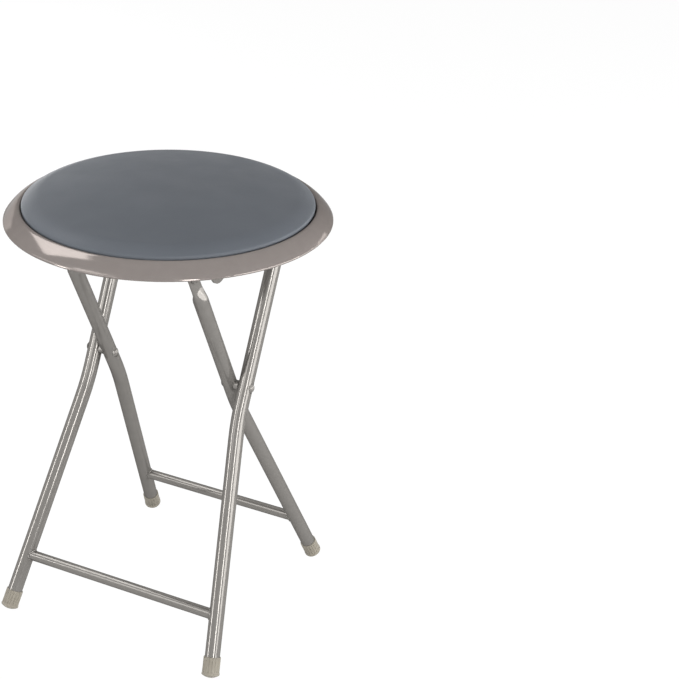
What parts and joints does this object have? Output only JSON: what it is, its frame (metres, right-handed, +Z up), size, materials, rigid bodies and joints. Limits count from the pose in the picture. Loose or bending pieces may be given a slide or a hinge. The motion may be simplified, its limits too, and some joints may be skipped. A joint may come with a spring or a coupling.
{
  "type": "folding stool",
  "caption": "Low folding stool: a round padded seat in a steel pan on two crossed tube frames, which close like scissors as the seat tips up in line with them.",
  "frame": {"origin": "on the floor, under the centre of the round seat", "axes": "+Z up, X across the stool (its plane of symmetry is X = 0), outer frame's feet at -Y, inner frame's feet and the clip for the top bar at +Y"},
  "size_m": [0.32, 0.32, 0.457],
  "materials": {
    "painted_steel": "satin",
    "rivet_steel": "satin",
    "vinyl": "satin",
    "foam": "matte",
    "hardboard": "matte",
    "foot_plastic": "satin",
    "clip_plastic": "matte"
  },
  "bodies": {
    "inner_frame": {"inner_leg_left": "painted_steel", "inner_leg_right": "painted_steel", "inner_crossbar": "painted_steel", "foot_cap_rear_left": "foot_plastic", "foot_cap_rear_right": "foot_plastic", "pivot_rivet_left": "rivet_steel", "pivot_rivet_right": "rivet_steel", "pivot_spacer_left": "rivet_steel", "pivot_spacer_right": "rivet_steel"},
    "outer_frame": {"outer_frame_tube": "painted_steel", "outer_crossbar": "painted_steel", "foot_cap_front_left": "foot_plastic", "foot_cap_front_right": "foot_plastic"},
    "seat": {"seat_pan": "painted_steel", "cushion_cover": "vinyl", "cushion_foam": "foam", "seat_board": "hardboard", "cover_staples": "rivet_steel", "cushion_screws": "rivet_steel", "hinge_bracket_left": "painted_steel", "hinge_bracket_right": "painted_steel", "hinge_washer_left": "clip_plastic", "hinge_washer_right": "clip_plastic", "hinge_rivet_left": "rivet_steel", "hinge_rivet_right": "rivet_steel", "latch_clip": "clip_plastic", "latch_screws": "rivet_steel"}
  },
  "joints": [
    {"name": "leg_fold", "type": "hinge", "parent": "inner_frame", "child": "outer_frame", "pos_m": [0, -0.0044, 0.2616], "axis": [1, 0, 0], "range_deg": [0, 45]},
    {"name": "seat_fold", "type": "hinge", "parent": "inner_frame", "child": "seat", "pos_m": [0, -0.07509, 0.4035], "axis": [1, 0, 0], "range_deg": [0, 117]}
  ],
  "couplings": [
    {"joint": "seat_fold", "follows": "leg_fold", "ratio": 2.6}
  ]
}
